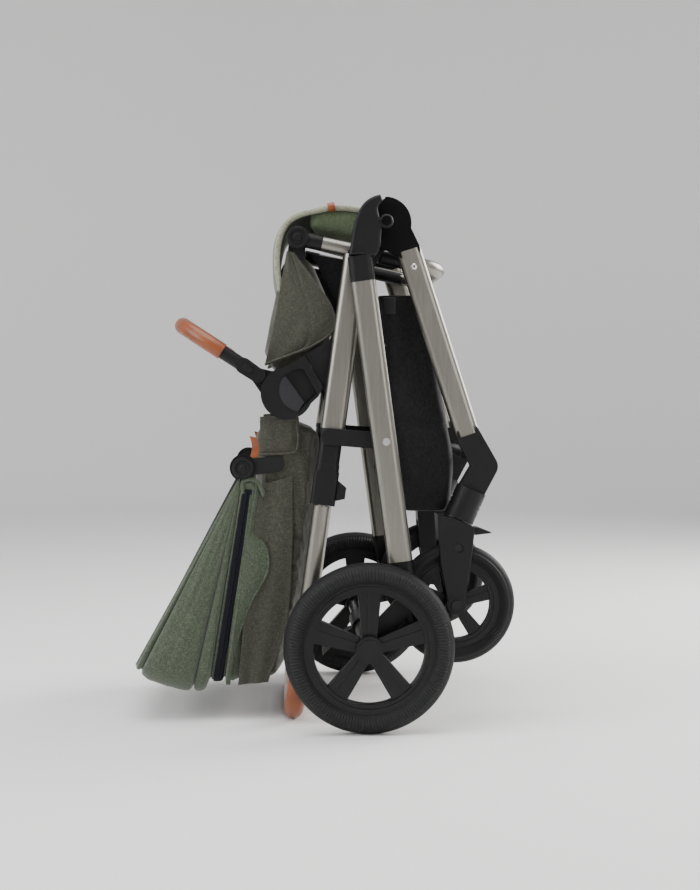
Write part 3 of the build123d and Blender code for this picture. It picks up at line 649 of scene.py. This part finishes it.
# Seat pad: the padded seat base in the same olive cloth, with a flat side wing each side
# sewn with a centre seam and a double-stitched hem.
pad_outline = [
    (-0.128, 0.76), (-0.162, 0.594), (-0.157, 0.574), (-0.128, 0.564), (-0.08, 0.588),
    (-0.054, 0.656), (-0.097, 0.758),
]
seat_pad = keep("seat_pad_cover", block(pad_outline, 0.157, 0.008), "seat_base", olive)
plump(seat_pad, 0.006, 4.0, 0.006)
for vert in seat_pad.data.vertices:
    vert.co += noise.noise_vector(vert.co * 22) * 0.0018
soften(seat_pad)
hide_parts("seat_pad")
wing_left = [
    (0, -0.129, 0.766), (0.25, -0.139, 0.71), (0.55, -0.152, 0.64), (0.85, -0.163, 0.59),
    (1, -0.165, 0.58),
]
wing_right = [
    (0, -0.119, 0.764), (0.25, -0.088, 0.722), (0.55, -0.055, 0.672), (0.85, -0.056, 0.633),
    (1, -0.1, 0.604),
]
for side, word in sides:

    def wing_place(u, v, side=side, lift=0.0):
        place = from_axle(*through(wing_left, v)).lerp(from_axle(*through(wing_right, v)), u)
        crease = 0.0016 * math.exp(-(((u - 0.62) / 0.03) ** 2))
        wave = 0.0016 * noise.noise(
            (u * 4, v * 5, 1.7),
        ) + 0.0022 * math.sin(math.pi * u) * math.sin(math.pi * v)
        place.y = side * (0.1655 + wave - crease + lift)
        return place

    wing = cloth_sheet(f"seat_wing_{word}", 30, 40, wing_place, "seat_base", olive)
    rim_line = [wing_place(1.0, step / 24) for step in range(25)]
    corded_edge(f"seat_wing_piping_{word}", rim_line, 0.002, "seat_base", olive)
    hem_line = [wing_place(step / 12, 0.97, lift=0.0015) for step in range(13)]
    corded_edge(f"seat_wing_hem_{word}", hem_line, 0.0024, "seat_base", olive)

# Back pocket panel: a padded square under the hub each side, bound with piping.
for side, word in sides:

    def pocket_place(u, v, side=side, lift=0.0):
        place = from_axle(-0.173 + 0.062 * u, 0.497 - 0.06 * v + 0.004 * u)
        edge = min(u, 1 - u, v, 1 - v)
        place.y = side * (
            0.1655 + 0.004 * min(1.0, edge * 6) + 0.0012 * noise.noise((u * 5, v * 5, 7)) + lift
        )
        return place

    pocket = cloth_sheet(f"back_pocket_{word}", 24, 24, pocket_place, "backrest", olive)
    piping_line = [
        (-0.112, 0.496), (-0.1105, 0.47), (-0.11, 0.45), (-0.113, 0.441), (-0.125, 0.437),
        (-0.15, 0.436), (-0.174, 0.435),
    ]
    pocket_cord = corded_edge(
        f"back_pocket_piping_{word}", [from_axle(x, z, side * 0.1672) for x, z in piping_line],
        0.0026, "backrest", olive,
    )
    pocket_seam = corded_edge(
        f"back_pocket_seam_{word}",
        [pocket_place(step / 10, 0.14, lift=0.001) for step in range(11)], 0.001, "backrest", olive,
    )

# Legrest: a padded calf board cover of moss green cloth, edged by a padded sage roll that runs
# on round the knee to the seat, its side edges painted pale as a painted rim highlight; a tan tag
# is folded over the roll's edge.
calf_outline = [
    (-0.09, 0.802), (-0.088, 0.829), (-0.055, 0.837), (0.0, 0.836), (0.016, 0.824), (0.016, 0.777),
]
calf = keep("legrest_cover", block(calf_outline, 0.158, 0.007), "legrest", moss)
plump(calf, 0.006, 4.0, 0.006)
for vert in calf.data.vertices:
    vert.co += noise.noise_vector(vert.co * 25) * 0.0012
soften(calf)
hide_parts("legrest_pad")
roll_line = [
    (0, -0.143, 0.7), (0.12, -0.148, 0.735), (0.24, -0.147, 0.775), (0.36, -0.136, 0.808),
    (0.48, -0.116, 0.826), (0.62, -0.082, 0.836), (0.8, -0.045, 0.841), (1, 0.014, 0.835),
]


def roll_place(u, v):
    centre = from_axle(*through(roll_line, v))
    ahead = from_axle(
        *through(roll_line, min(1, v + 0.03)),
    ) - from_axle(*through(roll_line, max(0, v - 0.03)))
    out = Vector((-ahead.z, 0, ahead.x)).normalized()
    across = u * 2 - 1
    edge = abs(across) ** 6
    return centre - out * 0.005 * edge + Vector(
        (0, across * 0.162, 0),
    ) + out * 0.001 * noise.noise((u * 8, v * 9, 2))


# The knee roll is sage cloth; its side edges, beyond 0.154 m from the middle, are painted pale as a
# painted rim highlight.
rim_lit_roll_cloth = painted_highlight_cloth.copy()
rim_lit_roll_cloth.name = "sage_with_painted_rim_highlight"
rim_lit_roll_tree = rim_lit_roll_cloth.node_tree
rim_lit_roll_base = rim_lit_roll_tree.nodes["Principled BSDF"]
painted_highlight_color = rim_lit_roll_base.inputs["Base Color"].links[0].from_socket
sage_color = ramp(
    rim_lit_roll_tree, noise_on(rim_lit_roll_tree, 900, (1, 1, 0.2), 2),
    [(0.3, (0.03, 0.042, 0.024)), (0.7, (0.1, 0.125, 0.078))],
)
edge_place = add_node(rim_lit_roll_tree, "ShaderNodeTexCoord")
edge_split = add_node(rim_lit_roll_tree, "ShaderNodeSeparateXYZ")
rim_lit_roll_tree.links.new(edge_place.outputs["Object"], edge_split.inputs["Vector"])
edge_reach = add_node(rim_lit_roll_tree, "ShaderNodeMath", operation="ABSOLUTE")
rim_lit_roll_tree.links.new(edge_split.outputs["Y"], edge_reach.inputs[0])
rim_highlight_mask = add_node(rim_lit_roll_tree, "ShaderNodeMapRange", **{"From Min": 0.1535, "From Max": 0.1545})
rim_lit_roll_tree.links.new(edge_reach.outputs["Value"], rim_highlight_mask.inputs["Value"])
rim_highlight_mix = add_node(rim_lit_roll_tree, "ShaderNodeMix", data_type="RGBA")
rim_lit_roll_tree.links.new(rim_highlight_mask.outputs["Result"], rim_highlight_mix.inputs[0])
rim_lit_roll_tree.links.new(sage_color, rim_highlight_mix.inputs[6])
rim_lit_roll_tree.links.new(painted_highlight_color, rim_highlight_mix.inputs[7])
rim_lit_roll_tree.links.new(rim_highlight_mix.outputs[2], rim_lit_roll_base.inputs["Base Color"])
roll = cloth_sheet("knee_cover", 60, 60, roll_place, None, rim_lit_roll_cloth, 0.009)
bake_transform(roll)

# The fold bolts are black oxide and the leg rivets bright, so the pins change tone with height.
pin_place = add_node(plated_tree, "ShaderNodeTexCoord")
pin_height = add_node(plated_tree, "ShaderNodeSeparateXYZ")
plated_tree.links.new(pin_place.outputs["Object"], pin_height.inputs["Vector"])
plated_tree.links.new(
    ramp(
        plated_tree, pin_height.outputs["Z"],
        [(0.6, (0.6, 0.6, 0.59)), (0.62, (0.012, 0.012, 0.013))],
    ),
    plated_base.inputs["Base Color"],
)

# Pivot caps and legrest fittings: the legrest tube is sheathed in black nylon near its eye
# and at its middle. A round moulded cap covers each knee pivot and each canopy pivot.
legrest_y = 0.165
knee = from_axle(-0.111, 0.787)
legrest_reach, legrest_drop = 0.233, 0.051


def along_legrest(shares, side):
    """Places on one legrest tube, at shares of its way from the knee to the foot bar."""
    return [
        from_axle(-0.111 + legrest_reach * share, 0.787 - legrest_drop * share, side * legrest_y)
        for share in shares
    ]


def turned(name, profile, centre, body, material, steps=48):
    """A turned part: a (radius, distance outwards) profile spun about the cross axis at centre."""
    mesh = bmesh.new()
    rings = [mesh.verts.new((radius, reach, 0)) for radius, reach in profile]
    edges = [mesh.edges.new(pair) for pair in zip(rings, rings[1:])]
    bmesh.ops.spin(
        mesh, geom=rings + edges, cent=(0, 0, 0), axis=(0, 1, 0), dvec=(0, 0, 0), angle=2 * math.pi,
        steps=steps, use_merge=True,
    )
    bmesh.ops.remove_doubles(mesh, verts=mesh.verts, dist=0.000001)
    bmesh.ops.holes_fill(
        mesh, edges=[edge for edge in mesh.edges if edge.is_boundary], sides=steps + 2,
    )
    flip = -1 if centre.y < 0 else 1
    for vert in mesh.verts:
        vert.co = Vector((vert.co.x, vert.co.y * flip, vert.co.z)) + centre
    piece = keep(name, mesh, body, material)
    piece.data.set_sharp_from_angle(angle=math.radians(35))
    return piece


for side, word in sides:
    turned(
        f"knee_cap_{word}",
        [
            (0.0, 0.0172), (0.0055, 0.0172), (0.0066, 0.0162), (0.0068, 0.0148), (0.0112, 0.0146),
            (0.0122, 0.0158), (0.0142, 0.016), (0.0172, 0.015), (0.0182, 0.0135), (0.0182, 0.0122),
            (0.0, 0.0122),
        ],
        Vector((knee.x, side * legrest_y, knee.z)),
        "legrest",
        nylon,
    )
    turned(
        f"canopy_cap_{word}",
        [
            (0.0, 0.0028), (0.0042, 0.0028), (0.0054, 0.0017), (0.0062, 0.0013), (0.0108, 0.0013),
            (0.0118, 0.0025), (0.0142, 0.0027), (0.0168, 0.0017), (0.0176, 0.0002),
            (0.0176, -0.0006), (0.0, -0.0006),
        ],
        from_axle(-0.2, 0.414, side * 0.183),
        "canopy",
        nylon,
    )
    sheath_run = along_legrest((0.57, 0.66, 0.75, 0.84), side)
    corded_edge(f"legrest_sheath_{word}", sheath_run, 0.0128, "legrest", nylon)
    collar_run = along_legrest((0.06, 0.1, 0.14, 0.17), side)
    corded_edge(f"legrest_collar_{word}", collar_run, 0.0132, "legrest", nylon)

    # Front leg rivets: bright pan heads with a six-sided socket, one high on each front leg.
    rivet_place = from_axle(0.0744, 0.737, side * 0.22)
    turned(
        f"front_rivet_{word}",
        [
            (0.0, 0.0022), (0.0022, 0.0021), (0.004, 0.0015), (0.005, 0.0004), (0.005, -0.0006),
            (0.0, -0.0006),
        ],
        rivet_place,
        "front_frame",
        plated_bright,
    )
    turned(
        f"front_rivet_socket_{word}",
        [(0.0, 0.0024), (0.0016, 0.0023), (0.0017, 0.0014), (0.0, 0.0014)],
        rivet_place,
        "front_frame",
        nylon,
        steps=6,
    )

# Tags, skirts and gussets: a short tan leather strip is folded over the knee roll's edge and
# another lies beside the back pocket. The cover's loose cloth hangs below them on each side.
for side, word in sides:

    def tag_place(u, v, side=side):
        wrap = math.pi * v
        place = from_axle(
            -0.064 + 0.012 * u + 0.003 * v, 0.8368 + 0.0068 * math.cos(wrap) + 0.002 * u,
        )
        place.y = side * (0.1585 + 0.0078 * math.sin(wrap))
        return place

    tag = cloth_sheet(f"knee_roll_tag_{word}", 6, 16, tag_place, "legrest", leather, 0.0012)

    def loop_place(u, v, side=side):
        place = from_axle(
            -0.19 + 0.012 * u + 0.004 * math.sin(v * 3), 0.466 - 0.036 * v - 0.003 * u,
        )
        place.y = side * (0.1672 + 0.0018 * math.sin(v * 7 + u * 2))
        return place

    loop = cloth_sheet(f"pocket_tag_{word}", 8, 20, loop_place, "backrest", leather, 0.0016)

    # Seat skirt: the cover's loose side hangs below the pocket in two long folds.
    skirt_left = [(0, -0.176, 0.385), (0.3, -0.186, 0.29), (0.6, -0.199, 0.17), (1, -0.209, 0.06)]
    skirt_right = [(0, -0.12, 0.4), (0.3, -0.12, 0.29), (0.6, -0.128, 0.17), (1, -0.16, 0.063)]

    def skirt_place(u, v, side=side):
        place = from_axle(*through(skirt_left, v)).lerp(from_axle(*through(skirt_right, v)), u)
        wave = math.sin(u * 11 + 1.5 * math.sin(v * 2.5)) * (0.4 + 0.6 * v)
        place.y = side * (
            0.1722 - 0.0045 * u + 0.0016 * wave + 0.0008 * noise.noise((u * 3, v * 9, 5))
        )
        return place

    skirt = cloth_sheet(f"seat_skirt_{word}", 44, 50, skirt_place, "backrest", olive)
    skirt_hem = corded_edge(
        f"seat_skirt_hem_{word}", [skirt_place(step / 20, 0.995) for step in range(21)], 0.0018,
        "backrest", olive,
    )

    # Gusset: black cloth closes the side between the seat base and the legrest.
    gusset_left = [
        (0, -0.092, 0.764), (0.35, -0.074, 0.735), (0.7, -0.05, 0.69), (1, -0.036, 0.655),
    ]
    gusset_right = [(0, -0.02, 0.752), (0.35, -0.016, 0.73), (0.7, -0.018, 0.69), (1, -0.03, 0.652)]

    def gusset_place(u, v, side=side):
        place = from_axle(*through(gusset_left, v)).lerp(from_axle(*through(gusset_right, v)), u)
        place.y = side * (0.139 + 0.003 * math.sin(u * 4) * math.sin(v * 5))
        return place

    gusset = cloth_sheet(f"seat_gusset_{word}", 16, 24, gusset_place, "seat_base", nylon_cloth)

# Basket: one bag of black oxford nylon hung between the legs, open at the top. Folded, its
# walls slump in, a pillow of cloth bulges over a stitched pocket, and the floor sags.
bag_levels = [
    (0, 0.018, 0.086), (0.2, 0.024, 0.106), (0.45, 0.034, 0.127), (0.7, 0.049, 0.145),
    (0.88, 0.056, 0.141), (1, 0.062, 0.134),
]
bag_height = [
    (0, 0.69, 0), (0.25, 0.61, 0), (0.5, 0.51, 0), (0.75, 0.415, 0), (0.9, 0.36, 0), (1, 0.344, 0),
]
bag_half = 0.182


def bag_place(u, v):
    walls = min(1.0, v / 0.86)
    rear, ahead = through(bag_levels, walls)
    level = through(bag_height, walls)[0]
    middle, reach = (rear + ahead) / 2, (ahead - rear) / 2
    turn = u * 2 * math.pi
    square = 0.32
    along = math.copysign(abs(math.cos(turn)) ** square, math.cos(turn))
    aside = math.copysign(abs(math.sin(turn)) ** square, math.sin(turn))
    shrink = 1.0 if v <= 0.86 else 1 - (v - 0.86) / 0.14
    slump = 1 - 0.1 * math.sin(math.pi * walls) * (1 - abs(along)) - 0.04 * math.sin(
        2 * math.pi * walls,
    )
    bulge = 0.006 * math.exp(-(((walls - 0.38) / 0.13) ** 2))
    stitched = 0.005 * math.exp(-(((walls - 0.56) / 0.02) ** 2))
    pillow = bulge - stitched
    broad = noise.noise((along * 1.6, aside * 1.6, walls * 4.5)) * 0.007
    fine = noise.noise((along * 5, aside * 5, walls * 9 + 4)) * 0.0028
    fold = broad + fine
    width = (bag_half - 0.004) * shrink * slump + (pillow + fold) * shrink
    depth = reach * shrink + fold * 0.6 * shrink
    sag = 0.004 * (1 - shrink**2)
    return from_axle(middle + depth * along, level - sag, width * aside)


bag = cloth_sheet("basket_bag", 120, 90, bag_place, "rear_frame", nylon_cloth, 0.0022)
bag_mesh = bmesh.new()
bag_mesh.from_mesh(bag.data)
bmesh.ops.remove_doubles(bag_mesh, verts=bag_mesh.verts, dist=0.0002)
bmesh.ops.recalc_face_normals(bag_mesh, faces=bag_mesh.faces)
bag_mesh.to_mesh(bag.data)
bag_mesh.free()
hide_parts("basket")
bag_rim = corded_edge(
    "basket_rim", [bag_place(step / 60, 0.0) for step in range(61)], 0.0036, "rear_frame",
    nylon_cloth,
)
bag_seam = corded_edge(
    "basket_pocket_seam", [bag_place(0.62 + step / 40 * 0.26, 0.49) for step in range(41)], 0.0016,
    "rear_frame", nylon_cloth,
)
for side, word in sides:
    for number, (x, z) in enumerate(((0.018, 0.61), (0.045, 0.4))):

        def strap_place(u, v, side=side, x=x, z=z):
            place = from_axle(x + (u - 0.5) * 0.024, z + 0.003 * math.sin(v * 5))
            place.y = side * (0.178 + 0.047 * v)
            place.z += (u - 0.5) * 0.004
            return place

        strap = cloth_sheet(
            f"basket_strap_{word}_{number}", 8, 10, strap_place, "rear_frame", nylon_cloth, 0.002,
        )
    buckle = bmesh.new()
    bmesh.ops.create_cube(buckle, size=1)
    for vert in buckle.verts:
        vert.co = Vector(
            (vert.co.x * 0.02, vert.co.y * 0.006, vert.co.z * 0.028),
        ) + from_axle(0.036, 0.676, side * 0.19)
    bmesh.ops.bevel(
        buckle, geom=list(buckle.edges), offset=0.0022, offset_type="OFFSET", segments=3,
        profile=0.5, material=-1, affect="EDGES",
    )
    keep(f"basket_buckle_{word}", buckle, "rear_frame", nylon)


# Bumper buttons and fork bolts: a moulded push button stands proud on each bumper connector,
# and a turned black bolt head closes each front fork.
for side, word in sides:
    button = bmesh.new()
    bmesh.ops.create_cube(button, size=1)
    lean = Matrix.Rotation(math.radians(-34), 4, "Y")
    for vert in button.verts:
        size_m = Vector((vert.co.x * 0.017, vert.co.y * 0.005, vert.co.z * 0.009))
        vert.co = lean.inverted() @ size_m + from_axle(-0.191, 0.574, side * 0.205)
    bmesh.ops.bevel(
        button, geom=list(button.edges), offset=0.0015, offset_type="OFFSET", segments=3,
        profile=0.5, material=-1, affect="EDGES",
    )
    keep(f"bumper_button_{word}", button, "bumper", nylon)
    turned(
        f"fork_bolt_{word}",
        [
            (0.0, 0.0012), (0.0018, 0.001), (0.0022, -0.0004), (0.0042, -0.0004), (0.0046, 0.0008),
            (0.0054, 0.0009), (0.006, 0.0), (0.006, -0.001), (0.0, -0.001),
        ],
        from_axle(0.148, 0.287, side * 0.2372),
        f"caster_{word}",
        nylon,
    )


size = {
    "cad": [list(corner) for corner in cad_bounds],
    "visual": [list(corner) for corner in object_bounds()],
}
